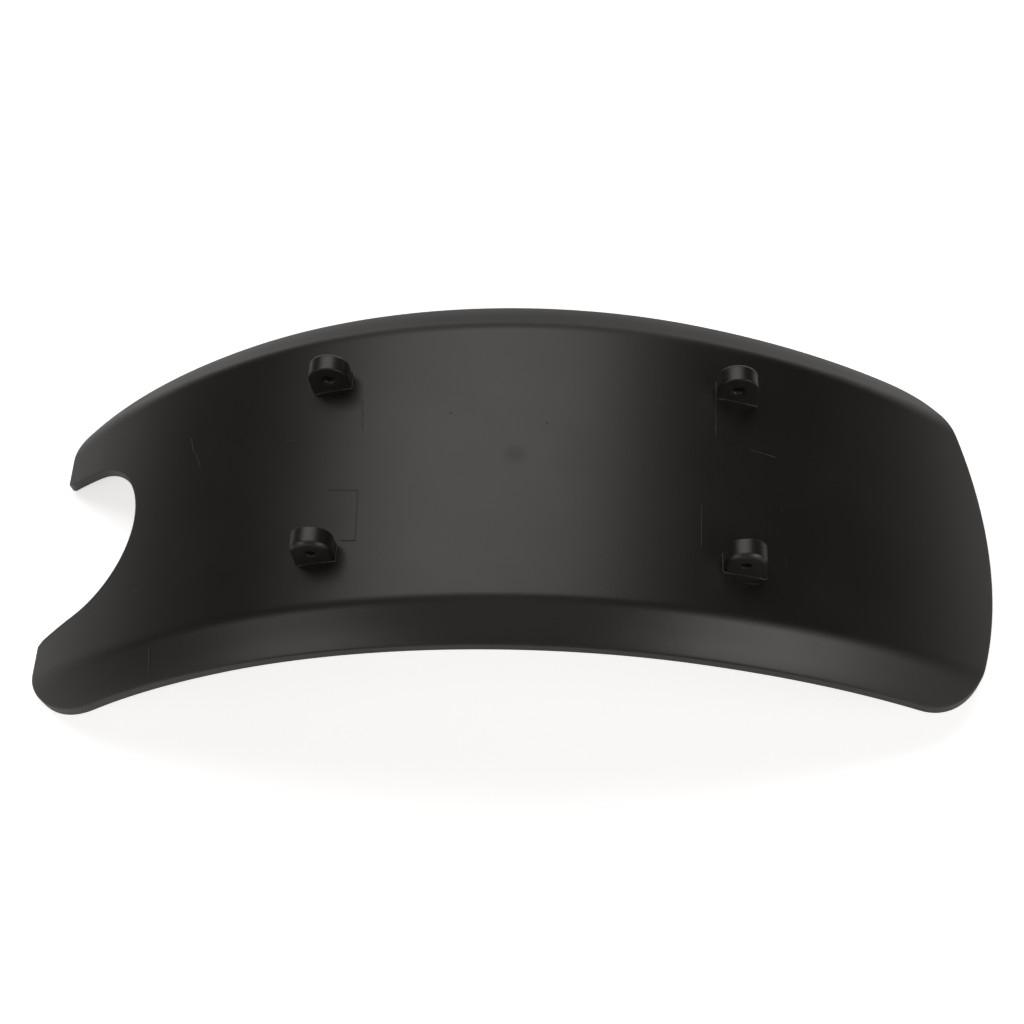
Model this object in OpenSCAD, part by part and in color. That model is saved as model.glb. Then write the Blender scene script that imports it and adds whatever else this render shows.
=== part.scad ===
// Scooter mudguard extension
// One moulded shell that follows the tyre, with drilled ears on its outer face.
// Millimetres. +X runs along the arc to the rounded tail, +Y across the wheel, +Z up.
// The origin is the middle of the footprint, level with the two ends the part lies on.
// The arc has three stretches that touch each other and flatten towards its ends.

/* [Tread] */

// Outside diameter of the tyre the shell passes over
tyre_d = 255; // [220:1:300]

// Air gap between the tyre and the inside of the tread at the top of the arc
tyre_gap = 13.5; // [10:0.5:20]

// Wall thickness of the tread, the bends and the sides
wall = 2.5; // [2:0.1:3.2]

// How much larger the front stretch's radius is than the middle's
front_ease = 47.5; // [20:0.5:70]

// How much larger the tail stretch's radius is than the middle's
tail_ease = 59.5; // [20:0.5:80]

// Angle from the top of the arc to the start of the front stretch
front_join_angle = 25.6; // [16:0.2:32]

// Angle from the top of the arc to the start of the tail stretch
tail_join_angle = 20.4; // [16:0.2:32]

// Slope of the tread at the notched end
front_angle = 46.1; // [40:0.1:52]

// Slope of the tread at the middle of the tail
tail_angle = 44.3; // [40:0.1:52]

/* [Section] */

// Width of the straight band across the middle of the tread
flat_w = 63.6; // [60:0.2:76]

// Outside radius of the bend from the tread into a side
bend_r = 4.7; // [4:0.1:10]

// Slope of a side below the tread
side_slope = 27.4; // [18:0.2:40]

// Length of the straight part of a side, from the bend to the rim
side_len = 10.5; // [8:0.1:16]

/* [Ends] */

// Diameter of the round bottom of the notch in the front end
notch_d = 41; // [34:0.2:43]

// Depth of the notch from the front end, measured level
notch_depth = 29.3; // [26:0.1:34]

// Width of the notch's open mouth, which its straight edges flare out to
mouth_w = 45.4; // [40:0.2:47]

// Radius of the corners between the front end and the sides
front_corner_r = 14.5; // [10:0.5:19]

// Radius of the tail's curved edge, seen from above
tail_r = 92; // [70:1:110]

// Radius of the corners between the tail and the sides
tail_corner_r = 18; // [12:0.5:22]

/* [Ears] */

// Angle from the top of the arc to the front pair of ears
front_ear_angle = 14.4; // [8:0.2:22]

// Angle from the top of the arc to the rear pair of ears
rear_ear_angle = 22.8; // [16:0.2:28]

// Distance across the wheel between the ears of a pair
ear_pitch = 44.4; // [34:0.2:50]

// Width of an ear along the arc
ear_w = 9.4; // [8:0.2:12]

// Thickness of an ear, which is the length of its hole
ear_t = 4.4; // [4:0.1:6]

// Height of the hole's centre above the tread right below it
ear_hole_h = 4.8; // [4.6:0.2:8]

// Diameter of the hole for the fixing screw
ear_hole_d = 2.2; // [2:0.1:3.2]

// Chamfer around the outer face of an ear
ear_chamfer = 0.7; // [0.3:0.1:1.2]

/* [Hidden] */

// Straight steps in one bend of the section
bend_steps = 6;

// Straight steps in each curve of the outline
outline_steps = 14;

// Facets of the round hole and of an ear's round top
$fn = 64;

// Facets a whole turn of the arc would have
arc_facets = 240;

// How far a cutter runs past the face it meets
over = 1;

// How far the arc turns on past its ends before they are cut, in degrees
over_turn = 4;

// The middle stretch runs on into the end ones by this angle, and is this much
// slimmer on every face, so the stretches join as one solid whatever their sizes
lap_turn = 0.6;
lap_step = 0.01;

// Shortest straight edge left between the notch's mouth and a corner
least_edge = 1;

// Radii of the middle stretch about the axle
tread_in_r = tyre_d / 2 + tyre_gap;
tread_out_r = tread_in_r + wall;

// A longer radius has its centre further along the line through the join
function centre_of(join, ease) = [-ease * sin(join), -ease * cos(join)];
front_centre = centre_of(-front_join_angle, front_ease);
tail_centre = centre_of(tail_join_angle, tail_ease);

// Ends of the outline, level distances from the top of the arc
front_x = front_centre[0] - (tread_out_r + front_ease) * sin(front_angle);
tail_x = tail_centre[0] + (tread_out_r + tail_ease) * sin(tail_angle);
centre_x = (front_x + tail_x) / 2;

// Height above the axle of a stretch's inside at one end
function inside_z(x, centre, ease) = centre[1] + sqrt(pow(tread_in_r + ease, 2) - pow(x - centre[0], 2));
axle_drop = min(
    inside_z(front_x, front_centre, front_ease),
    inside_z(tail_x, tail_centre, tail_ease)
);

// Half width over the rims, which are flat and upright
half_w = flat_w / 2 + bend_r * sin(side_slope) + side_len * cos(side_slope);

// The outline's sides run just clear of the rims, so only its ends cut the shell
side_clear = 0.05;
side_y = half_w + side_clear;

// The notch is a circle with a straight edge from each side to the mouth
notch_r = notch_d / 2;
mouth_y = mouth_w / 2;
notch_x = front_x + notch_depth - notch_r;
mouth_reach = norm([front_x - notch_x, mouth_y]);
mouth_turn = atan2(mouth_y, front_x - notch_x);
touch_turn = mouth_turn - acos(min(1, notch_r / mouth_reach));

// The front corners leave a straight edge beside the mouth
front_r = min(front_corner_r, side_y - mouth_y - least_edge);

// The tail's edge and its corners are circles that touch each other
tail_cx = tail_x - tail_r;
corner_y = side_y - tail_corner_r;
corner_turn = asin(corner_y / (tail_r - tail_corner_r));
corner_x = tail_cx + (tail_r - tail_corner_r) * cos(corner_turn);

ear_r = ear_w / 2;

// Points on an arc about c, from angle a0 to a1
function arc_points(c, r, a0, a1, steps) = [
    for (i = [0 : steps]) let (a = a0 + (a1 - a0) * i / steps)
        [c[0] + r * cos(a), c[1] + r * sin(a)]
];

// The same points in the opposite order
function reversed(points) = [for (i = [len(points) - 1 : -1 : 0]) points[i]];

// The other side of the middle, in the order that closes the shape
function mirrored(points) = [for (p = reversed(points)) [p[0], -p[1]]];

// Half of the section for a tread of radius r, made slimmer by step on every face:
// distance from its centre against distance from the middle
function bend_points(r, bend) = arc_points([r - bend_r, flat_w / 2], bend, 0, side_slope, bend_steps);
function rim_point(r, bend, y) = [
    r - bend_r + (bend - (y - flat_w / 2) * sin(side_slope)) / cos(side_slope),
    y
];
function half_section(r, step) = concat(
    bend_points(r, bend_r - step),
    [rim_point(r, bend_r - step, half_w - step), rim_point(r, bend_r - wall + step, half_w - step)],
    reversed(bend_points(r, bend_r - wall + step))
);

module section(r, step) {
    polygon(concat(half_section(r, step), mirrored(half_section(r, step))));
}

// Half of the outline seen from above, from the tail's middle to the notch
function tail_edge() = arc_points([tail_cx, 0], tail_r, 0, corner_turn, outline_steps);
function tail_corner() = arc_points([corner_x, corner_y], tail_corner_r, corner_turn, 90, outline_steps);
function front_corner() = arc_points([front_x + front_r, side_y - front_r], front_r, 90, 180, outline_steps);
function notch_edge() = arc_points([notch_x, 0], notch_r, touch_turn, 0, outline_steps);
function half_outline() = concat(
    tail_edge(), tail_corner(), front_corner(), [[front_x, mouth_y]], notch_edge()
);

module outline() {
    polygon(concat(half_outline(), mirrored(half_outline())));
}

// Moves the axle's line to a stretch's own centre
module about(centre) {
    translate([centre[0], 0, centre[1] - axle_drop]) children();
}

// One stretch of the wall, between two angles measured from the top of the arc
module stretch(centre, ease, from, to, step = 0) {
    about(centre) rotate([90, 0, 0])
        rotate([0, 0, 90 - to])
            rotate_extrude(angle = to - from, start = 0, $fn = arc_facets)
                section(tread_out_r + ease, step);
}

module curved_wall() {
    stretch(front_centre, front_ease, -front_angle - over_turn, -front_join_angle);
    stretch([0, 0], 0, -front_join_angle - lap_turn, tail_join_angle + lap_turn, lap_step);
    stretch(tail_centre, tail_ease, tail_join_angle, tail_angle + over_turn);
}

// An ear stands upright, with its chamfered face towards side. Its foot goes halfway
// into the wall and is cut off along the tread, which slopes by angle
module ear(angle, side) {
    face_y = side * ear_t / 2;
    foot_depth = wall + ear_r * tan(abs(angle));
    difference() {
        union() {
            translate([0, 0, ear_hole_h]) rotate([side * -90, 0, 0]) {
                translate([0, 0, -ear_t / 2]) cylinder(r = ear_r, h = ear_t - ear_chamfer);
                translate([0, 0, ear_t / 2 - ear_chamfer])
                    cylinder(r1 = ear_r, r2 = ear_r - ear_chamfer, h = ear_chamfer);
            }
            translate([0, 0, -foot_depth]) linear_extrude(foot_depth + ear_hole_h) polygon([
                [-ear_r, -face_y],
                [ear_r, -face_y],
                [ear_r, face_y - side * ear_chamfer],
                [ear_r - ear_chamfer, face_y],
                [-ear_r + ear_chamfer, face_y],
                [-ear_r, face_y - side * ear_chamfer]
            ]);
        }
        rotate([0, angle, 0]) translate([0, 0, -wall / 2 - ear_w])
            linear_extrude(ear_w) square([4 * ear_w, 2 * ear_t], center = true);
    }
}

module ear_hole() {
    translate([0, 0, ear_hole_h]) rotate([90, 0, 0])
        cylinder(d = ear_hole_d, h = ear_t + 2 * over, center = true);
}

// The point on the outside of the tread at an angle from the top of the arc
function tread_point(angle) = let (
    in_front = angle < -front_join_angle,
    in_tail = angle > tail_join_angle,
    centre = in_front ? front_centre : in_tail ? tail_centre : [0, 0],
    r = tread_out_r + (in_front ? front_ease : in_tail ? tail_ease : 0)
) [centre[0] + r * sin(angle), centre[1] + r * cos(angle) - axle_drop];

module at_ear(angle, side) {
    foot = tread_point(angle);
    translate([foot[0], side * ear_pitch / 2, foot[1]]) children();
}

module shell() {
    color([0.05, 0.05, 0.05]) translate([-centre_x, 0, 0]) difference() {
        union() {
            intersection() {
                curved_wall();
                translate([0, 0, -over]) linear_extrude(tread_out_r) outline();
            }
            for (angle = [-front_ear_angle, rear_ear_angle], side = [-1, 1])
                at_ear(angle, side) ear(angle, side);
        }
        for (angle = [-front_ear_angle, rear_ear_angle], side = [-1, 1])
            at_ear(angle, side) ear_hole();
    }
}

shell();
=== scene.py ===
import math

import bmesh
import bpy
import numpy as np
from mathutils import Matrix, Vector


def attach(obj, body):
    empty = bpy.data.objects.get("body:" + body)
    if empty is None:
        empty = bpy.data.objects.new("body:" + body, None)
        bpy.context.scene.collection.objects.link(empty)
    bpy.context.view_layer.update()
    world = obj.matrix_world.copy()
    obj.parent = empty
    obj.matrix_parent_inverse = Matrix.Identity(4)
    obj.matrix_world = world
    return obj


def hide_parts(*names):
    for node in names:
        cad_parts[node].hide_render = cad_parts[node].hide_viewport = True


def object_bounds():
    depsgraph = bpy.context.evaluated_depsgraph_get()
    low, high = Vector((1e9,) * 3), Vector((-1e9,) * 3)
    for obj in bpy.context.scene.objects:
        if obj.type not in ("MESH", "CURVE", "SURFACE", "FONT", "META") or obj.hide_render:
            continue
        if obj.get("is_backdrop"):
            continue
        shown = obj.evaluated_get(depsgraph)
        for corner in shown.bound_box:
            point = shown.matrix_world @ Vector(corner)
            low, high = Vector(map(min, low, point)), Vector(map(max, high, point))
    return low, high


bl_info = {
    "name": "Scooter mudguard extension",
    "version": (1, 0, 0),
    "blender": (4, 5, 0),
    "location": "3D View > Sidebar > Mudguard",
    "description": "Builds the moulded mudguard extension, its ears and its studio",
    "category": "Add Mesh",
}

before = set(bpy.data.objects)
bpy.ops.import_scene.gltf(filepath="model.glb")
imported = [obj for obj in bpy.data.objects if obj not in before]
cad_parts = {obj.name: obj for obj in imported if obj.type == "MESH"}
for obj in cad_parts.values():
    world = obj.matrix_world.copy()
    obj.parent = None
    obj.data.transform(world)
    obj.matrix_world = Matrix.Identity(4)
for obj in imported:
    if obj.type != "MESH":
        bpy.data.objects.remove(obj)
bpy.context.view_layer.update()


def length(name, description, default, low=0.0001, high=1.0):
    """A size in metres."""
    return bpy.props.FloatProperty(
        name=name, description=description, default=default, min=low, max=high,
        unit="LENGTH", subtype="DISTANCE", precision=5,
    )


def angle(name, description, degrees):
    """An angle, given in degrees and kept in radians."""
    return bpy.props.FloatProperty(
        name=name, description=description, default=math.radians(degrees),
        min=0.0, max=math.radians(80), subtype="ANGLE",
    )


def share(name, description, default):
    """A plain number from 0 to 1."""
    return bpy.props.FloatProperty(
        name=name, description=description, default=default, min=0.0, max=1.0, subtype="FACTOR",
    )


def colour(name, description, default):
    """A linear colour."""
    return bpy.props.FloatVectorProperty(
        name=name, description=description, default=default, size=3, min=0.0, max=1.0,
        subtype="COLOR",
    )


class ShellSizes(bpy.types.PropertyGroup):
    """Sizes of the curved wall.

    They are the CAD model's, apart from the flat band, the side slope and the side length,
    which put the bends 1.7 mm further out with the rims in the same place, and the front
    corners, which are oval. The soft bends, the crown and the roundings are only here.
    """

    tyre_d: length("Tyre diameter", "Outside diameter of the tyre under the shell", 0.255)
    tyre_gap: length("Tyre gap", "Air between the tyre and the inside of the tread", 0.0135)
    wall: length("Wall", "Thickness of the tread and the sides", 0.0025)
    front_ease: length("Front ease", "Extra radius of the front stretch", 0.0475)
    tail_ease: length("Tail ease", "Extra radius of the tail stretch", 0.0595)
    front_join: angle("Front join", "From the top of the arc to the front stretch", 25.6)
    tail_join: angle("Tail join", "From the top of the arc to the tail stretch", 20.4)
    front_slope: angle("Front slope", "Slope of the tread at the notched end", 46.1)
    tail_slope: angle("Tail slope", "Slope of the tread at the middle of the tail", 44.3)
    flat_w: length("Flat band", "Width of the straight band across the tread", 0.0666)
    bend_r: length("Bend radius", "Outside radius of the bend into a side", 0.0047)
    side_slope: angle("Side slope", "Slope of a side below the tread", 31.7)
    side_len: length("Side length", "Straight part of a side from bend to rim", 0.008833)
    notch_d: length("Notch diameter", "Round bottom of the notch", 0.041)
    notch_depth: length("Notch depth", "Depth of the notch from the front end", 0.0293)
    mouth_w: length("Mouth width", "Open width of the notch at the front end", 0.0454)
    front_corner_l: length("Front corner length", "Length of a front corner along the arc", 0.0210)
    front_corner_w: length("Front corner width", "Width of a front corner across the wheel", 0.0125)
    tail_r: length("Tail edge radius", "Radius of the tail's curved edge", 0.092)
    tail_corner_r: length("Tail corners", "Radius of the tail corners", 0.018)
    soft_mid: length("Bend at the middle", "Softer radius of the bends at the middle", 0.0046)
    soft_end: length("Bend at the ends", "Softer radius of the bends at the ends", 0.0125)
    crown: length("Crown", "Bulge of the sides between bend and rim", 0.00022, 0.0)
    edge_round: length("Edge rounding", "Rounding of the wall's edges", 0.0004)
    tip_round: length("Tip rounding", "Rounding of the tips beside the notch", 0.0006)


class EarSizes(bpy.types.PropertyGroup):
    """Sizes of the drilled ears."""

    front_angle: angle("Front pair", "From the top of the arc to the front pair", 14.4)
    rear_angle: angle("Rear pair", "From the top of the arc to the rear pair", 22.8)
    pitch: length("Pitch", "Distance across the wheel between a pair", 0.0444)
    width: length("Width", "Width of an ear along the arc", 0.0094)
    thickness: length("Thickness", "Thickness of an ear", 0.0044)
    hole_h: length("Hole height", "Hole centre above the tread right below it", 0.0048)
    hole_d: length("Hole diameter", "Hole for the fixing screw", 0.0022)
    chamfer: length("Chamfer", "Chamfer of the outer face", 0.0007)
    edge_round: length("Edge rounding", "Rounding of the ear's edges", 0.0003)
    root_r: length("Root fillet", "Fillet between the ear and the tread", 0.0002)


class MarkSizes(bpy.types.PropertyGroup):
    """Sizes of the marks the mould leaves on the tread."""

    line_w: length("Line width", "Width of a witness line", 0.00026, 0.00002)
    line_h: length("Line height", "Height of a witness line", 0.00013, 0.00001)
    speck_d: length("Speck size", "Width of a small raised speck", 0.0005)
    gate_d: length("Gate mark", "Width of the soft mark where the plastic came in", 0.0075)


class FinishSettings(bpy.types.PropertyGroup):
    """Colours and grain of the moulded plastic."""

    plastic: colour("Plastic", "Colour of the black plastic", (0.0070, 0.0059, 0.0049))
    rubbed: colour("Rubbed", "Colour where handling has rubbed it pale", (0.026, 0.024, 0.022))
    shine: share("Roughness", "Middle roughness of the satin surface", 0.41)
    grain: length("Grain", "Width of one grain of the moulded texture", 0.00045, 0.00005)


class StudioSettings(bpy.types.PropertyGroup):
    """Floor and lamps."""

    floor: colour("Floor", "Colour of the plain floor", (0.90, 0.90, 0.90))
    floor_reach: length("Floor reach", "From the middle of the floor to its edges", 1.2, 0.5, 10.0)
    reach: length("Lamp distance", "Distance of the lamps from the object", 0.9, 0.1, 10.0)


# ---------- the curved wall as heights over its plan ----------

# How late the bends soften towards the ends, as a power of the distance from the middle
SOFTEN_POWER = 5

# Makes u * u * (1 - u), the bulge of a side, reach 1 at its highest
FULL_BULGE = 6.75

# How far the straight rows of the mesh stop short of the notch and of the tail
ROWS_FROM_NOTCH = 0.010
ROWS_FROM_TAIL = 0.029


class Form:
    """Heights of the shell's two faces over its plan, and the plan's outline."""

    def __init__(self, s):
        self.s = s
        self.tread_r = s.tyre_d / 2 + s.tyre_gap + s.wall
        self.front = self.centre(-s.front_join, s.front_ease)
        self.tail = self.centre(s.tail_join, s.tail_ease)
        left = self.front[0] - (self.tread_r + s.front_ease) * math.sin(s.front_slope)
        right = self.tail[0] + (self.tread_r + s.tail_ease) * math.sin(s.tail_slope)
        self.middle = (left + right) / 2
        self.front_x = left - self.middle
        self.tail_x = right - self.middle
        self.drop = min(
            self.inside(left, self.front, s.front_ease), self.inside(right, self.tail, s.tail_ease)
        )
        self.half_w = (
            s.flat_w / 2 + s.bend_r * math.sin(s.side_slope) + s.side_len * math.cos(s.side_slope)
        )
        self.fold = s.flat_w / 2 + s.bend_r * math.tan(s.side_slope / 2)

    @staticmethod
    def centre(join, ease):
        """A longer radius has its centre further along the line through the join."""
        return (-ease * math.sin(join), -ease * math.cos(join))

    def inside(self, x, centre, ease):
        r = self.tread_r - self.s.wall + ease
        return centre[1] + math.sqrt(r * r - (x - centre[0]) ** 2)

    def soft_bend(self, x):
        """Outer radius of the bends, which soften from the middle to the ends."""
        s = self.s
        towards_end = np.minimum(1.0, (np.abs(x) / self.tail_x) ** SOFTEN_POWER)
        return s.soft_mid + (s.soft_end - s.soft_mid) * towards_end

    def fall(self, x, y, inner):
        """How far the outer or the inner face has fallen at y below the flat band's outside."""
        s = self.s
        bend = self.soft_bend(x) - (s.wall if inner else 0.0)
        fold = self.fold - (s.wall * math.tan(s.side_slope / 2) if inner else 0.0)
        a = np.maximum(np.abs(y) - (fold - bend * math.tan(s.side_slope / 2)), 0.0)
        end = bend * math.sin(s.side_slope)
        curve = bend - np.sqrt(np.maximum(bend * bend - np.minimum(a, end) ** 2, 0.0))
        down = curve + np.maximum(a - end, 0.0) * math.tan(s.side_slope)
        if inner:
            return down + s.wall
        u = np.clip((np.abs(y) - self.fold) / (self.half_w - self.fold), 0.0, 1.0)
        return down - s.crown * FULL_BULGE * u * u * (1.0 - u)

    def height(self, x, y, inner=False):
        """Height of the outer or the inner face over the plan point x, y."""
        s = self.s
        x, y = np.asarray(x, float), np.asarray(y, float)
        r = self.tread_r - self.fall(x, y, inner)
        x = x + self.middle
        turn = np.arcsin(np.clip(x / r, -1.0, 1.0))
        z = np.sqrt(np.maximum(r * r - x * x, 0.0))
        for here, centre, ease in (
            (turn < -s.front_join, self.front, s.front_ease),
            (turn > s.tail_join, self.tail, s.tail_ease),
        ):
            far = np.sqrt(np.maximum((r + ease) ** 2 - (x - centre[0]) ** 2, 0.0)) + centre[1]
            z = np.where(here, far, z)
        return z - self.drop

    def on_tread(self, turn):
        """Point on the outside of the tread at an angle from the top."""
        s = self.s
        centre, ease = (0.0, 0.0), 0.0
        if turn < -s.front_join:
            centre, ease = self.front, s.front_ease
        elif turn > s.tail_join:
            centre, ease = self.tail, s.tail_ease
        r = self.tread_r + ease
        x = centre[0] + r * math.sin(turn) - self.middle
        z = centre[1] + r * math.cos(turn) - self.drop
        return Vector((x, 0.0, z))

    def front_edge(self):
        """Front half outline from the notch's deepest point to the side, with inward normals."""
        s = self.s
        notch_r = s.notch_d / 2
        notch = (self.front_x + s.notch_depth - notch_r, 0.0)
        mouth = Vector((self.front_x, s.mouth_w / 2))
        to_mouth = mouth - Vector(notch)
        touch = math.atan2(to_mouth.y, to_mouth.x) - math.acos(min(1.0, notch_r / to_mouth.length))
        edge = arc(notch, notch_r, 0.0, touch, 240, 1)
        start = Vector(edge[-1][:2])
        run = (mouth - start).normalized()
        inward = Vector((run.y, -run.x))
        if inward.y < 0:
            inward = -inward
        f = s.tip_round
        tip = mouth + Vector((f, f * (1 - inward.x) / inward.y))
        flare_end = tip - f * inward
        edge += line(start, flare_end, inward, 60)
        edge += arc(tip, f, math.atan2(-inward.y, -inward.x) + 2 * math.pi, math.pi, 30, -1)
        corner = (self.front_x + s.front_corner_l, self.half_w - s.front_corner_w)
        beside_tip, at_corner = Vector((self.front_x, tip.y)), Vector((self.front_x, corner[1]))
        edge += line(beside_tip, at_corner, Vector((1, 0)), 20)
        edge += oval(corner, s.front_corner_l, s.front_corner_w, math.pi, math.pi / 2, 300)
        return np.array(edge)

    def tail_edge(self):
        """Tail half outline from the tail's middle to the side, with inward normals."""
        s = self.s
        middle = (self.tail_x - s.tail_r, 0.0)
        corner_y = self.half_w - s.tail_corner_r
        turn = math.asin(corner_y / (s.tail_r - s.tail_corner_r))
        corner = (middle[0] + (s.tail_r - s.tail_corner_r) * math.cos(turn), corner_y)
        edge = arc(middle, s.tail_r, 0.0, turn, 240, -1)
        edge += arc(corner, s.tail_corner_r, turn, math.pi / 2, 300, -1)
        return np.array(edge)


def arc(centre, r, a0, a1, steps, inward):
    """Rows of x, y and inward normal along an arc; inward is 1 away from its centre."""
    rows = []
    for i in range(steps + 1):
        a = a0 + (a1 - a0) * i / steps
        c, s = math.cos(a), math.sin(a)
        rows.append((centre[0] + r * c, centre[1] + r * s, inward * c, inward * s))
    return rows


def oval(centre, rx, ry, a0, a1, steps):
    """Rows of x, y and inward normal along a quarter of an oval."""
    rows = []
    for i in range(steps + 1):
        a = a0 + (a1 - a0) * i / steps
        c, s = math.cos(a), math.sin(a)
        slope = math.hypot(c / rx, s / ry)
        rows.append((centre[0] + rx * c, centre[1] + ry * s, -c / rx / slope, -s / ry / slope))
    return rows


def line(start, end, inward, steps):
    """Rows of x, y and inward normal along a straight line."""
    return [
        (*start.lerp(end, i / steps), inward.x, inward.y) for i in range(1, steps)
    ]


class EdgeWalk:
    """Finds points along a half outline moved in by the edge rounding."""

    def __init__(self, edge, inset, crease):
        self.edge = edge
        self.inset = edge[:, :2] + inset * edge[:, 2:]
        steps = np.hypot(*np.diff(self.inset, axis=0).T)
        self.run = np.concatenate([[0.0], np.cumsum(steps)])
        y = self.inset[:, 1]
        last = np.max(np.nonzero(y <= crease[0])[0])
        self.corner = (y[last:], self.run[last:])
        self.crease = crease
        self.marks = [np.interp(c, *self.corner) for c in crease]
        self.top = y[-1]

    def where(self, y):
        """Distance along the edge at which the row that starts at y ends."""
        low, high = self.crease
        if y <= low:
            return self.marks[0] * y / low
        if y <= high:
            return np.interp(y, *self.corner)
        return self.marks[1] + (self.run[-1] - self.marks[1]) * (y - high) / (self.top - high)

    def point(self, y):
        """Outline point and inward normal for a row at y, of either sign."""
        at = self.where(abs(y))
        row = [np.interp(at, self.run, self.edge[:, i]) for i in range(4)]
        flip = -1.0 if y < 0 else 1.0
        place = np.array([row[0], row[1] * flip])
        normal = np.array([row[2], row[3] * flip])
        return place, normal / np.hypot(*normal)


def row_places(form, edge_round):
    """Distances from the middle of the rows that run along the shell, on both sides."""
    s = form.s
    spread = s.soft_end * math.tan(s.side_slope / 2)
    crease = (form.fold - spread, form.fold + spread)
    top = form.half_w - edge_round
    half = np.concatenate([
        np.linspace(0.0, crease[0], 27),
        np.linspace(*crease, 19)[1:],
        np.linspace(crease[1], top, 12)[1:],
    ])
    return np.concatenate([-half[:0:-1], half]), crease


def shell_mesh(s):
    """The whole wall as one closed mesh: outer face, inner face and a rounded edge all round."""
    form = Form(s)
    w = s.edge_round
    rows, crease = row_places(form, w)
    front = EdgeWalk(form.front_edge(), w, crease)
    tail = EdgeWalk(form.tail_edge(), w, crease)
    x_front = form.front_x + s.notch_depth + ROWS_FROM_NOTCH
    x_tail = form.tail_x - ROWS_FROM_TAIL
    body = np.linspace(x_front, x_tail, 141)
    front_steps = np.linspace(0.0, 1.0, 27)[:-1]
    tail_steps = np.linspace(0.0, 1.0, 25)[1:]

    plan, rims = [], []
    for y in rows:
        p0, n0 = front.point(y)
        p1, n1 = tail.point(y)
        a, b = p0 + w * n0, p1 + w * n1
        start, end = np.array([x_front, y]), np.array([x_tail, y])
        left = [a + (start - a) * t for t in front_steps]
        right = [end + (b - end) * t for t in tail_steps]
        plan.append(np.array(left + [np.array([x, y]) for x in body] + right))
        rims.append(((p0, n0), (p1, n1)))
    plan = np.array(plan)
    count, wide = plan.shape[:2]

    verts, faces = [], []
    for inner in (False, True):
        z = form.height(plan[..., 0], plan[..., 1], inner)
        verts += np.dstack([plan, z]).reshape(-1, 3).tolist()
    under = count * wide
    for r in range(count - 1):
        for c in range(wide - 1):
            a = r * wide + c
            quad = (a, a + 1, a + wide + 1, a + wide)
            faces.append(quad)
            faces.append(tuple(under + i for i in reversed(quad)))

    up = np.array([0.0, 1.0])
    loop = [(0, c) for c in range(wide)] + [(r, wide - 1) for r in range(1, count)]
    loop += [(count - 1, c) for c in range(wide - 2, -1, -1)]
    loop += [(r, 0) for r in range(count - 2, 0, -1)]
    strips = []
    for r, c in loop:
        if c == 0:
            place, normal = rims[r][0]
        elif c == wide - 1:
            place, normal = rims[r][1]
        else:
            side = 1.0 if r else -1.0
            place, normal = np.array([plan[r, c, 0], side * form.half_w]), -side * up
        strips.append(edge_strip(form, place, normal, w, len(verts), verts, r * wide + c, under))
    for i, strip in enumerate(strips):
        ahead = strips[(i + 1) % len(strips)]
        for k in range(len(strip) - 1):
            faces.append((ahead[k], strip[k], strip[k + 1], ahead[k + 1]))
    return mesh_from("shell_wall", verts, faces)


def edge_strip(form, place, normal, w, first, verts, grid, under):
    """Adds one rounded crossing of the wall's edge, and returns its vertex numbers in order."""
    inset = place + w * normal
    ends = []
    for inner, step in ((False, -w), (True, w)):
        sharp = np.array([*place, float(form.height(place[0], place[1], inner))])
        face = np.array([*inset, float(form.height(inset[0], inset[1], inner))])
        ends.append((face, sharp, sharp + np.array([0.0, 0.0, step])))
    points = []
    for t in (0.25, 0.5, 0.75, 1.0):
        a, b, c = ends[0]
        points.append((1 - t) ** 2 * a + 2 * t * (1 - t) * b + t * t * c)
    for t in (1.0, 0.75, 0.5, 0.25):
        a, b, c = ends[1]
        points.append((1 - t) ** 2 * a + 2 * t * (1 - t) * b + t * t * c)
    verts += [p.tolist() for p in points]
    return [grid] + [first + i for i in range(len(points))] + [under + grid]


# ---------- meshes and pieces ----------


def mesh_from(name, verts, faces):
    """A mesh with outward faces and smooth shading."""
    mesh = bpy.data.meshes.new(name)
    mesh.from_pydata(verts, [], faces)
    bm = bmesh.new()
    bm.from_mesh(mesh)
    bmesh.ops.remove_doubles(bm, verts=bm.verts, dist=1e-7)
    bmesh.ops.recalc_face_normals(bm, faces=bm.faces)
    bm.to_mesh(mesh)
    bm.free()
    mesh.shade_smooth()
    mesh.update()
    return mesh


def add_piece(name, mesh, material, stands_for=None):
    """Links a piece of the object that rides on the root."""
    piece = bpy.data.objects.new(name, mesh)
    bpy.context.scene.collection.objects.link(piece)
    mesh.materials.append(material)
    even = piece.modifiers.new("even_shading", "WEIGHTED_NORMAL")
    even.mode = "FACE_AREA"
    even.weight = 60
    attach(piece, "root")
    if stands_for:
        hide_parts(stands_for)
    return piece


def joined_rings(rings, closed=False):
    """Quads between neighbouring rings of equal length, numbered in order."""
    n = len(rings[0])
    verts = [p for ring in rings for p in ring]
    faces = []
    last = len(rings) if closed else len(rings) - 1
    for k in range(last):
        a, b = k * n, ((k + 1) % len(rings)) * n
        for i in range(n):
            j = (i + 1) % n
            faces.append((a + i, a + j, b + j, b + i))
    return verts, faces


# The ears are this much slimmer than their size, so their round tops stay within the CAD's flats
EAR_SLIM = 0.00002

# How far an ear's foot goes down into the wall
FOOT_DEPTH = 0.0012

# Rounding of the hole's two lips
HOLE_LIP = 0.00018

# Distance from the ear's rounded edges to the nearest row of its mesh
EDGE_SPACE = 0.0004

# The root fillet: its corners' radius, and how far it goes into the ear and the wall
SKIRT_CORNER = 0.0002
SKIRT_IN_EAR = 0.0001
SKIRT_IN_WALL = 0.0003


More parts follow.
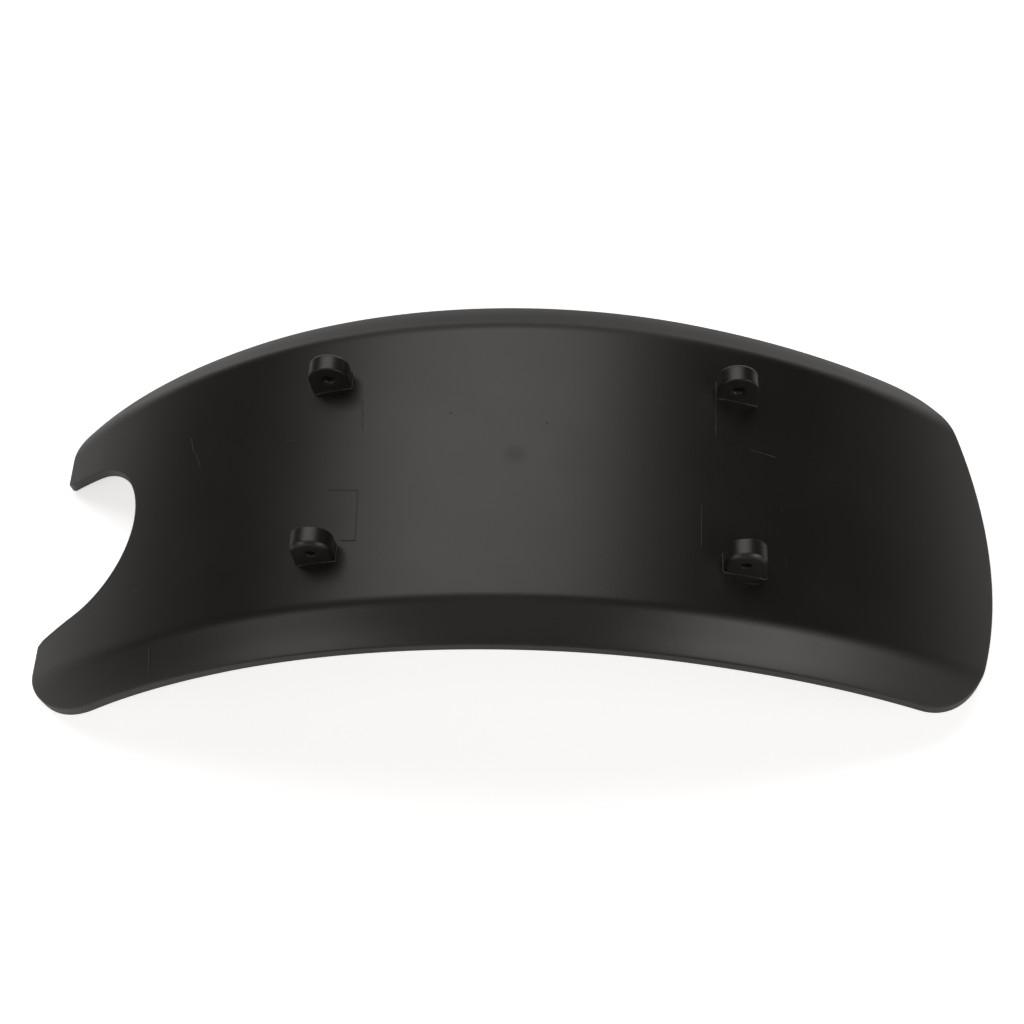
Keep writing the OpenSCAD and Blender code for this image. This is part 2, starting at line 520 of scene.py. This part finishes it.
def ear_profile(half, hole_h, slope, inset):
    """The D shape of an ear about its hole, over the round top and along the sloping foot."""
    r = half - inset
    points = [(r * math.cos(a), r * math.sin(a)) for a in np.linspace(0.0, math.pi, 37)]

    def low(x):
        return -(hole_h + FOOT_DEPTH) - x * math.tan(slope)

    points += [(-r, low(-r) * t) for t in np.linspace(0.0, 1.0, 9)[1:]]
    points += [(x, low(x)) for x in np.linspace(-r, r, 13)[1:-1]]
    points += [(r, low(r) * t) for t in np.linspace(1.0, 0.0, 9)[:-1]]
    return points


def ear_mesh(s, slope, ground, side):
    """One upright ear on a sloping tread, with its chamfered face towards side."""
    half, t = s.width / 2 - EAR_SLIM, s.thickness / 2
    rounding, c = s.edge_round, s.chamfer
    turns = [math.atan2(z, x) for x, z in ear_profile(half, s.hole_h, slope, 0.0)]

    def outline(inset, y):
        return [(x, side * y, z + s.hole_h) for x, z in ear_profile(half, s.hole_h, slope, inset)]

    def hole(r, y):
        return [(r * math.cos(a), side * y, r * math.sin(a) + s.hole_h) for a in turns]

    def mixed(r, inset, y, share_out):
        inner, outer = hole(r, y), outline(inset, y)
        return [tuple(a + (b - a) * share_out for a, b in zip(p, q)) for p, q in zip(inner, outer)]

    r0 = s.hole_d / 2
    lip = HOLE_LIP
    quarter = [
        (math.cos(b * math.pi / 2), math.sin(b * math.pi / 2)) for b in np.linspace(0.0, 1.0, 5)
    ]
    rings = [hole(r0, y) for y in np.linspace(-t + lip, t - lip, 5)]
    rings += [hole(r0 + lip * (1 - cos), t - lip + lip * sin) for cos, sin in quarter[1:]]
    rings += [mixed(r0 + lip, c + 0.4 * rounding, t, m) for m in (0.3, 0.65, 1.0)]
    corner = (c - 0.3 * rounding, t - 0.3 * rounding)
    rings.append(outline(corner[0], t - 0.12 * rounding))
    rings.append(outline(corner[0] - rounding, t - rounding))
    rings.append(outline(0.5 * rounding, t - c + 0.3 * rounding))
    rings.append(outline(0.12 * rounding, t - c - 0.1 * rounding))
    rings.append(outline(0.0, t - c - 0.6 * rounding))
    rings += [
        outline(0.0, y) for y in np.linspace(t - c - EDGE_SPACE, -t + rounding + EDGE_SPACE, 4)
    ]
    rings += [
        outline(rounding * (1 - cos), -t + rounding - rounding * sin) for cos, sin in quarter
    ]
    rings += [mixed(r0 + lip, rounding, -t, m) for m in (0.65, 0.3, 0.0)]
    rings += [hole(r0 + lip * cos, -t + lip * (1 - cos)) for cos, _ in quarter[1:-1]]
    verts, faces = joined_rings(rings, closed=True)

    more, skirt_faces = joined_rings(root_skirt(s, ground), closed=True)
    faces += [tuple(len(verts) + i for i in f) for f in skirt_faces]
    verts += more
    return mesh_from("ear", verts, faces)


def root_skirt(s, ground):
    """A small fillet that runs round the foot of an ear and follows the tread."""
    half, t, f = s.width / 2, s.thickness / 2, s.root_r

    def footprint(out, up):
        ring = []
        for cx, cy, start in ((1, 1, 0.0), (-1, 1, 0.5), (-1, -1, 1.0), (1, -1, 1.5)):
            for a in np.linspace(start * math.pi, (start + 0.5) * math.pi, 9):
                x = cx * (half - SKIRT_CORNER) + (SKIRT_CORNER + out) * math.cos(a)
                y = cy * (t - SKIRT_CORNER) + (SKIRT_CORNER + out) * math.sin(a)
                ring.append((x, y, ground(x, y) + up))
        return ring

    rings = []
    for b in np.linspace(0.0, math.pi / 2, 7):
        rings.append(footprint(f * (1 - math.sin(b)), f * (1 - math.cos(b))))
    rings.append(footprint(-SKIRT_IN_EAR, f))
    rings.append(footprint(-SKIRT_IN_EAR, -SKIRT_IN_WALL))
    rings.append(footprint(f, -SKIRT_IN_WALL))
    return rings


# Longest step along a raised line, and its section: shares of its width and of its height
LINE_STEP = 0.0008
LINE_SECTION = ((-0.5, -0.6), (-0.35, 0.6), (0.0, 1.0), (0.35, 0.6), (0.5, -0.6))


def raised_line(form, path, width, height):
    """A fine raised line along plan points, lying on the outer face."""
    points = []
    for (x0, y0), (x1, y1) in zip(path[:-1], path[1:]):
        steps = max(2, int(math.hypot(x1 - x0, y1 - y0) / LINE_STEP))
        points += [(x0 + (x1 - x0) * i / steps, y0 + (y1 - y0) * i / steps) for i in range(steps)]
    points.append(path[-1])
    plan = np.array(points)
    along = np.gradient(plan, axis=0)
    along /= np.hypot(*along.T)[:, None]
    across = np.column_stack([-along[:, 1], along[:, 0]])
    rings = []
    last = len(plan) - 1
    for i, p in enumerate(plan):
        taper = 0.35 if i in (0, last) else 1.0
        ring = []
        for shift, rise in LINE_SECTION:
            q = p + across[i] * shift * width * taper
            ring.append((*q, float(form.height(q[0], q[1])) + rise * height * taper))
        rings.append(ring)
    verts, faces = joined_rings(rings)
    n = len(rings[0])
    faces += [tuple(range(n)), tuple(last * n + i for i in range(n))]
    return verts, faces


def speck(form, x, y, size, height):
    """A small raised speck on the outer face."""
    rings = []
    for scale, rise in ((1.0, -0.3), (0.8, 0.5), (0.45, 0.9), (0.1, 1.0)):
        ring = []
        for a in np.linspace(0.0, 2 * math.pi, 12, endpoint=False):
            wobble = 1.0 + 0.18 * math.sin(3 * a + x * 900)
            px = x + 0.5 * size * scale * wobble * math.cos(a)
            py = y + 0.5 * size * scale * wobble * math.sin(a)
            ring.append((px, py, float(form.height(px, py)) + rise * height))
        rings.append(ring)
    verts, faces = joined_rings(rings)
    faces += [tuple(range(12)), tuple(len(verts) - 12 + i for i in range(12))]
    return verts, faces


# ---------- finishes ----------


def new_group(name, inputs, outputs):
    """A shader node group with named inputs and outputs."""
    group = bpy.data.node_groups.new(name, "ShaderNodeTree")
    for label, kind, default in inputs:
        socket = group.interface.new_socket(label, in_out="INPUT", socket_type=kind)
        if default is not None:
            socket.default_value = default
    for label, kind in outputs:
        group.interface.new_socket(label, in_out="OUTPUT", socket_type=kind)
    return group, group.nodes.new("NodeGroupInput"), group.nodes.new("NodeGroupOutput")


def add_node(tree, kind, settings=(), inputs=()):
    """A node with its settings and input values given by name."""
    node = tree.nodes.new(kind)
    for key, value in dict(settings).items():
        setattr(node, key, value)
    for key, value in dict(inputs).items():
        node.inputs[key].default_value = value
    return node


def ranged(tree, source, low, high, to_low, to_high, smooth=True):
    """A Map Range node fed by source, and its output socket."""
    node = add_node(tree, "ShaderNodeMapRange", {
        "interpolation_type": "SMOOTHSTEP" if smooth else "LINEAR", "clamp": True,
    }, {"From Min": low, "From Max": high, "To Min": to_low, "To Max": to_high})
    tree.links.new(source, node.inputs["Value"])
    return node.outputs["Result"]


def maths(tree, operation, a, b=None):
    """A Math node between two sockets or numbers, and its output socket."""
    node = add_node(tree, "ShaderNodeMath", {"operation": operation})
    for i, value in enumerate((a, b)):
        if value is None:
            continue
        if isinstance(value, (int, float)):
            node.inputs[i].default_value = value
        else:
            tree.links.new(value, node.inputs[i])
    return node.outputs[0]


def noise(tree, scale, detail, roughness):
    """A Noise Texture node."""
    return add_node(tree, "ShaderNodeTexNoise", {}, {
        "Scale": scale, "Detail": detail, "Roughness": roughness,
    })


def moulded_grain_group():
    """Fine grain of the mould's blasted face, with the slow waves of a cooled wall."""
    group, given, result = new_group(
        "moulded_grain",
        [("Vector", "NodeSocketVector", None), ("Grain size", "NodeSocketFloat", 0.0004)],
        [(label, "NodeSocketFloat") for label in ("Height", "Waves", "Polish")],
    )
    link = group.links.new
    scale = maths(group, "DIVIDE", 1.0, given.outputs["Grain size"])
    fine = add_node(group, "ShaderNodeTexNoise", {}, {"Detail": 3.0, "Roughness": 0.6})
    pits = add_node(group, "ShaderNodeTexVoronoi", {"feature": "SMOOTH_F1"}, {"Smoothness": 0.7})
    for node, factor in ((fine, 1.0), (pits, 0.7)):
        link(given.outputs["Vector"], node.inputs["Vector"])
        link(maths(group, "MULTIPLY", scale, factor), node.inputs["Scale"])
    grain = maths(group, "ADD", maths(group, "MULTIPLY", fine.outputs["Fac"], 0.6),
                  maths(group, "MULTIPLY", pits.outputs["Distance"], 0.4))
    waves = noise(group, 28.0, 2.0, 0.45)
    polish = noise(group, 65.0, 4.0, 0.55)
    link(given.outputs["Vector"], waves.inputs["Vector"])
    link(given.outputs["Vector"], polish.inputs["Vector"])
    link(grain, result.inputs["Height"])
    link(waves.outputs["Fac"], result.inputs["Waves"])
    link(polish.outputs["Fac"], result.inputs["Polish"])
    return group


def handling_marks_group():
    """Hairline scratches and soft rubbed patches from handling."""
    group, given, result = new_group(
        "handling_marks",
        [("Vector", "NodeSocketVector", None), ("Amount", "NodeSocketFloat", 0.5)],
        [("Scratches", "NodeSocketFloat"), ("Rubbed", "NodeSocketFloat")],
    )
    link = group.links.new
    masks = []
    for turn, stretch, level, seed in ((0.35, 14.0, 0.735, 3.1), (-1.15, 18.0, 0.745, 7.7)):
        spin = add_node(group, "ShaderNodeMapping", {}, {
            "Location": (seed, seed * 0.3, 0.0), "Rotation": (0.0, 0.0, turn),
            "Scale": (90.0 / stretch, 900.0, 60.0),
        })
        hairs = noise(group, 1.0, 1.5, 0.5)
        link(given.outputs["Vector"], spin.inputs["Vector"])
        link(spin.outputs["Vector"], hairs.inputs["Vector"])
        masks.append(ranged(group, hairs.outputs["Fac"], level, level + 0.05, 0.0, 1.0))
    patches = noise(group, 22.0, 3.0, 0.6)
    link(given.outputs["Vector"], patches.inputs["Vector"])
    where = ranged(group, patches.outputs["Fac"], 0.48, 0.66, 0.0, 1.0)
    both = maths(group, "MAXIMUM", masks[0], masks[1])
    link(maths(group, "MULTIPLY", maths(group, "MULTIPLY", both, where), given.outputs["Amount"]),
         result.inputs["Scratches"])
    link(maths(group, "MULTIPLY", where, given.outputs["Amount"]), result.inputs["Rubbed"])
    return group


# Shares of the rubbed colour that the polish adds, from low to high: on most of the plastic,
# and on a scuff
LIGHT_WEAR = (0.0, 0.012)
SCUFF_WEAR = (0.7, 1.0)

# Depths of the relief: the grain, the waves, a scratch and the dip at the gate mark
GRAIN_DEPTH, WAVE_DEPTH, SCRATCH_DEPTH, GATE_DEPTH = 0.016, 0.004, 0.012, 0.02

# Brightness of the gate mark's middle against the plastic's
GATE_SHADE = 0.72


def plastic_material(name, finish, groups, gate=None, gate_d=0.0, amount=0.5,
                     extra_rough=0.0, wear=LIGHT_WEAR):
    """Satin black plastic with grain, waves, handling marks and, on the wall, the gate mark."""
    material = bpy.data.materials.new(name)
    material.use_nodes = True
    tree = material.node_tree
    tree.nodes.clear()
    link = tree.links.new
    output = tree.nodes.new("ShaderNodeOutputMaterial")
    shader = add_node(tree, "ShaderNodeBsdfPrincipled", {}, {"IOR": 1.47, "Metallic": 0.0})
    link(shader.outputs["BSDF"], output.inputs["Surface"])
    place = tree.nodes.new("ShaderNodeTexCoord").outputs["Object"]

    grain = add_node(
        tree, "ShaderNodeGroup", {"node_tree": groups[0]}, {"Grain size": finish.grain},
    )
    marks = add_node(tree, "ShaderNodeGroup", {"node_tree": groups[1]}, {"Amount": amount})
    link(place, grain.inputs["Vector"])
    link(place, marks.inputs["Vector"])

    tint = add_node(tree, "ShaderNodeMix", {"data_type": "RGBA"})
    tint.inputs["A"].default_value = (*finish.plastic, 1.0)
    tint.inputs["B"].default_value = (*finish.rubbed, 1.0)
    pale = maths(tree, "ADD", maths(tree, "MULTIPLY", marks.outputs["Scratches"], 0.55),
                 maths(tree, "MULTIPLY", marks.outputs["Rubbed"], 0.05))
    cloud = ranged(tree, grain.outputs["Polish"], 0.35, 0.7, *wear)
    link(maths(tree, "ADD", pale, cloud), tint.inputs["Factor"])
    base = tint.outputs["Result"]

    rough = maths(tree, "ADD", ranged(tree, grain.outputs["Polish"], 0.3, 0.7, -0.010, 0.010),
                  finish.shine + extra_rough)
    rough = maths(tree, "ADD", rough, maths(tree, "MULTIPLY", marks.outputs["Rubbed"], 0.04))
    height = maths(tree, "MULTIPLY", grain.outputs["Height"], GRAIN_DEPTH)
    waves = maths(tree, "MULTIPLY", grain.outputs["Waves"], WAVE_DEPTH)
    scratches = maths(tree, "MULTIPLY", marks.outputs["Scratches"], SCRATCH_DEPTH)
    height = maths(tree, "SUBTRACT", maths(tree, "ADD", height, waves), scratches)

    if gate is not None:
        reach = add_node(tree, "ShaderNodeVectorMath", {"operation": "DISTANCE"})
        reach.inputs[1].default_value = gate
        link(place, reach.inputs[0])
        blush = ranged(tree, reach.outputs["Value"], 0.1 * gate_d, 0.5 * gate_d, 1.0, 0.0)
        darker = add_node(tree, "ShaderNodeMix", {"data_type": "RGBA"})
        darker.inputs["B"].default_value = (*[GATE_SHADE * c for c in finish.plastic], 1.0)
        link(base, darker.inputs["A"])
        link(maths(tree, "MULTIPLY", blush, 0.7), darker.inputs["Factor"])
        base = darker.outputs["Result"]
        rough = maths(tree, "ADD", rough, maths(tree, "MULTIPLY", blush, 0.05))
        height = maths(tree, "SUBTRACT", height, maths(tree, "MULTIPLY", blush, GATE_DEPTH))

    link(base, shader.inputs["Base Color"])
    link(rough, shader.inputs["Roughness"])
    bump = add_node(tree, "ShaderNodeBump", {}, {"Strength": 1.0, "Distance": 0.001})
    link(height, bump.inputs["Height"])
    link(bump.outputs["Normal"], shader.inputs["Normal"])
    return material


def finish_groups():
    """The two shared effects, built once."""
    names = ("moulded_grain", "handling_marks")
    found = [bpy.data.node_groups.get(n) for n in names]
    return [found[0] or moulded_grain_group(), found[1] or handling_marks_group()]


# ---------- operators ----------

# Plan points of the marks on the outer face
WITNESS_LINES = (
    ((-0.0366, -0.0063), (-0.0291, -0.0074), (-0.0287, -0.0199), (-0.0323, -0.0195)),
    ((-0.0300, 0.0165), (-0.0293, 0.0083)),
    ((0.0511, 0.0217), (0.0507, 0.0097), (0.0580, 0.0079), (0.0650, 0.0072)),
    ((0.0469, -0.0083), (0.0466, -0.0195)),
    ((0.0650, -0.0056), (0.0651, -0.0070)),
    ((0.0653, -0.0182), (0.0655, -0.0194)),
    ((-0.0788, -0.0357), (-0.0791, -0.0420)),
)
SCUFFS = (
    ((-0.0752, 0.0172), (-0.0741, 0.0138), (-0.0722, 0.0104), (-0.0712, 0.0080)),
    ((-0.0480, 0.0086), (-0.0462, 0.0083)),
    ((-0.0855, -0.0206), (-0.0836, -0.0214)),
    ((0.0560, -0.0262), (0.0590, -0.0259)),
)
SPECKS = ((-0.0089, 0.0109), (0.0128, 0.0083), (0.0385, 0.0165))
GATE = (0.0059, -0.0002)


class MUDGUARD_OT_shell(bpy.types.Operator):
    """Builds the curved wall with its notch, bends, sides and rounded edges."""

    bl_idname = "mudguard.shell"
    bl_label = "Shell"

    def execute(self, context):
        scene = context.scene
        form = Form(scene.mudguard_shell)
        gate = (*GATE, float(form.height(*GATE)))
        material = plastic_material(
            "satin_plastic_wall", scene.mudguard_finish, finish_groups(), gate,
            scene.mudguard_marks.gate_d,
        )
        add_piece("shell_wall", shell_mesh(scene.mudguard_shell), material, "shell")
        return {"FINISHED"}


class MUDGUARD_OT_ears(bpy.types.Operator):
    """Builds the four drilled ears with their root fillets."""

    bl_idname = "mudguard.ears"
    bl_label = "Ears"

    def execute(self, context):
        scene = context.scene
        sizes = scene.mudguard_ears
        form = Form(scene.mudguard_shell)
        material = plastic_material(
            "satin_plastic_ears", scene.mudguard_finish, finish_groups(), amount=0.3,
        )
        for end, turn in (("front", -sizes.front_angle), ("rear", sizes.rear_angle)):
            for hand, side in (("right", 1), ("left", -1)):
                foot = form.on_tread(turn) + Vector((0, side * sizes.pitch / 2, 0))

                def ground(x, y):
                    return float(form.height(foot.x + x, foot.y + y)) - foot.z

                mesh = ear_mesh(sizes, turn, ground, side)
                mesh.transform(Matrix.Translation(foot))
                add_piece("ear_%s_%s" % (end, hand), mesh, material)
        return {"FINISHED"}


class MUDGUARD_OT_mould_marks(bpy.types.Operator):
    """Lays the fine raised lines and specks that the mould leaves on the tread."""

    bl_idname = "mudguard.mould_marks"
    bl_label = "Mould marks"

    def execute(self, context):
        scene = context.scene
        sizes = scene.mudguard_marks
        form = Form(scene.mudguard_shell)
        scuff_w, scuff_h = 0.9 * sizes.line_w, 0.3 * sizes.line_h
        lines = [raised_line(form, path, sizes.line_w, sizes.line_h) for path in WITNESS_LINES]
        pale = [raised_line(form, path, scuff_w, scuff_h) for path in SCUFFS]
        pale += [speck(form, x, y, sizes.speck_d, sizes.line_h) for x, y in SPECKS]
        for name, parts, amount, wear in (
            ("mould_lines", lines, 0.2, LIGHT_WEAR), ("scuffs", pale, 1.0, SCUFF_WEAR),
        ):
            verts, faces = [], []
            for more, more_faces in parts:
                faces += [tuple(len(verts) + i for i in f) for f in more_faces]
                verts += more
            material = plastic_material(
                "satin_plastic_" + name, scene.mudguard_finish, finish_groups(), amount=amount,
                extra_rough=-0.06, wear=wear,
            )
            add_piece(name, mesh_from(name, verts, faces), material)
        return {"FINISHED"}


# Tints of the lamps
PLAIN, WARM, BROWN = (1.0, 0.99, 0.975), (1.0, 0.965, 0.925), (1.0, 0.80, 0.78)

# Each lamp: name, direction to it, width, height, power, tint
LAMPS = (
    ("key_over_back", (-0.115, 0.464, 0.867), 0.94, 0.50, 4.5, PLAIN),
    ("back_strip", (-0.05, 0.84, 0.48), 1.00, 0.24, 0.8, PLAIN),
    ("back_horizon", (0.00, 0.985, 0.12), 0.90, 0.20, 0.35, PLAIN),
    ("left_front", (-0.62, -0.62, 0.48), 0.35, 0.35, 1.45, WARM),
    ("right_front", (0.69, -0.58, 0.43), 0.35, 0.35, 2.3, WARM),
    ("front_fill", (0.00, -0.48, 0.88), 0.40, 0.60, 0.50, WARM),
    ("left_horizon", (-0.95, 0.18, 0.10), 0.30, 0.30, 0.09, BROWN),
    ("right_side", (0.86, -0.30, 0.40), 0.35, 0.35, 0.6, WARM),
    ("left_side", (-0.86, -0.30, 0.40), 0.35, 0.35, 0.08, BROWN),
    ("front_strip", (-0.20, -0.94, 0.28), 0.90, 0.14, 0.7, WARM),
)

# Strength of the world's even light on the object
AMBIENT = 0.01

# The lamps face this point
LAMP_AIM = (0.0, 0.0, 0.035)

# What the floor adds to its lit colour where the camera sees it
FLOOR_GLOW = 0.62

# The camera's place, its focal length in millimetres, and its sideways and backward directions
CAMERA_PLACE = (0.033555, -0.162300, 0.338160)
CAMERA_LENS = 51.73
CAMERA_RIGHT = (0.996125, 0.031591, -0.082074)
CAMERA_BACK = (0.087345, -0.464079, 0.881477)


def floor_material(tint):
    """A pale floor that shows white to the camera and keeps the object's soft shadow."""
    material = bpy.data.materials.new("studio_floor")
    material.use_nodes = True
    tree = material.node_tree
    tree.nodes.clear()
    link = tree.links.new
    output = tree.nodes.new("ShaderNodeOutputMaterial")
    matt = add_node(tree, "ShaderNodeBsdfDiffuse", {}, {"Color": (*tint, 1.0)})
    glow = add_node(tree, "ShaderNodeEmission", {}, {"Color": (1.0, 1.0, 1.0, 1.0)})
    path = tree.nodes.new("ShaderNodeLightPath")
    seen = path.outputs["Is Camera Ray"]
    link(maths(tree, "MULTIPLY", seen, FLOOR_GLOW), glow.inputs["Strength"])
    both = tree.nodes.new("ShaderNodeAddShader")
    link(matt.outputs["BSDF"], both.inputs[0])
    link(glow.outputs["Emission"], both.inputs[1])
    link(both.outputs["Shader"], output.inputs["Surface"])
    return material


def studio_world():
    """White to the camera, and a low even light on the object."""
    world = bpy.data.worlds.new("studio")
    bpy.context.scene.world = world
    world.use_nodes = True
    tree = world.node_tree
    tree.nodes.clear()
    output = tree.nodes.new("ShaderNodeOutputWorld")
    back = add_node(tree, "ShaderNodeBackground", {}, {"Color": (1.0, 1.0, 1.0, 1.0)})
    path = tree.nodes.new("ShaderNodeLightPath")
    tree.links.new(ranged(tree, path.outputs["Is Camera Ray"], 0.0, 1.0, AMBIENT, 1.0, False),
                   back.inputs["Strength"])
    tree.links.new(back.outputs["Background"], output.inputs["Surface"])


class MUDGUARD_OT_studio(bpy.types.Operator):
    """Lays the floor and sets the lamps, the world and the camera."""

    bl_idname = "mudguard.studio"
    bl_label = "Studio"

    def execute(self, context):
        scene = context.scene
        settings = scene.mudguard_studio
        floor = bpy.data.meshes.new("floor")
        r = settings.floor_reach
        floor.from_pydata([(-r, -r, 0), (r, -r, 0), (r, r, 0), (-r, r, 0)], [], [(0, 1, 2, 3)])
        ground = bpy.data.objects.new("floor", floor)
        ground.location.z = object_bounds()[0][2]
        scene.collection.objects.link(ground)
        floor.materials.append(floor_material(settings.floor))
        ground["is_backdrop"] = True
        aim = Vector(LAMP_AIM)
        for name, direction, width, height, power, tint in LAMPS:
            light = bpy.data.lights.new(name, "AREA")
            light.shape = "RECTANGLE"
            light.size, light.size_y = width, height
            light.energy = power
            light.color = tint
            lamp = bpy.data.objects.new(name, light)
            way = Vector(direction).normalized()
            lamp.location = aim + way * settings.reach
            lamp.rotation_euler = way.to_track_quat("Z", "Y").to_euler()
            scene.collection.objects.link(lamp)
        studio_world()
        scene.view_settings.view_transform = "Standard"
        lens = bpy.data.cameras.new("camera")
        lens.sensor_width = 36.0
        lens.lens = CAMERA_LENS
        lens.clip_start = 0.01
        camera = bpy.data.objects.new("camera", lens)
        right = Vector(CAMERA_RIGHT)
        back = Vector(CAMERA_BACK)
        up = back.cross(right).normalized()
        right = up.cross(back).normalized()
        x, y, z = CAMERA_PLACE
        camera.matrix_world = Matrix((
            (right.x, up.x, back.x, x),
            (right.y, up.y, back.y, y),
            (right.z, up.z, back.z, z),
            (0.0, 0.0, 0.0, 1.0),
        ))
        scene.collection.objects.link(camera)
        scene.camera = camera
        return {"FINISHED"}


class MUDGUARD_PT_panel(bpy.types.Panel):
    """Lists the sizes, the colours and the builders."""

    bl_idname = "MUDGUARD_PT_panel"
    bl_label = "Mudguard extension"
    bl_space_type = "VIEW_3D"
    bl_region_type = "UI"
    bl_category = "Mudguard"

    def draw(self, context):
        for key, _, operator in GROUPS:
            box = self.layout.box()
            box.operator(operator)
            settings = getattr(context.scene, key)
            for name in settings.__annotations__:
                box.prop(settings, name)


GROUPS = (
    ("mudguard_shell", ShellSizes, "mudguard.shell"),
    ("mudguard_ears", EarSizes, "mudguard.ears"),
    ("mudguard_marks", MarkSizes, "mudguard.mould_marks"),
    ("mudguard_finish", FinishSettings, "mudguard.shell"),
    ("mudguard_studio", StudioSettings, "mudguard.studio"),
)
CLASSES = tuple(g[1] for g in GROUPS) + (
    MUDGUARD_OT_shell, MUDGUARD_OT_ears, MUDGUARD_OT_mould_marks, MUDGUARD_OT_studio,
    MUDGUARD_PT_panel,
)


def register():
    for cls in CLASSES:
        bpy.utils.register_class(cls)
    for key, cls, _ in GROUPS:
        setattr(bpy.types.Scene, key, bpy.props.PointerProperty(type=cls))


def unregister():
    for key, _, _ in GROUPS:
        delattr(bpy.types.Scene, key)
    for cls in reversed(CLASSES):
        bpy.utils.unregister_class(cls)


def main():
    register()
    bpy.ops.mudguard.shell()
    bpy.ops.mudguard.ears()
    bpy.ops.mudguard.mould_marks()
    bpy.ops.mudguard.studio()
    bpy.context.view_layer.update()


if __name__ == "__main__":
    main()
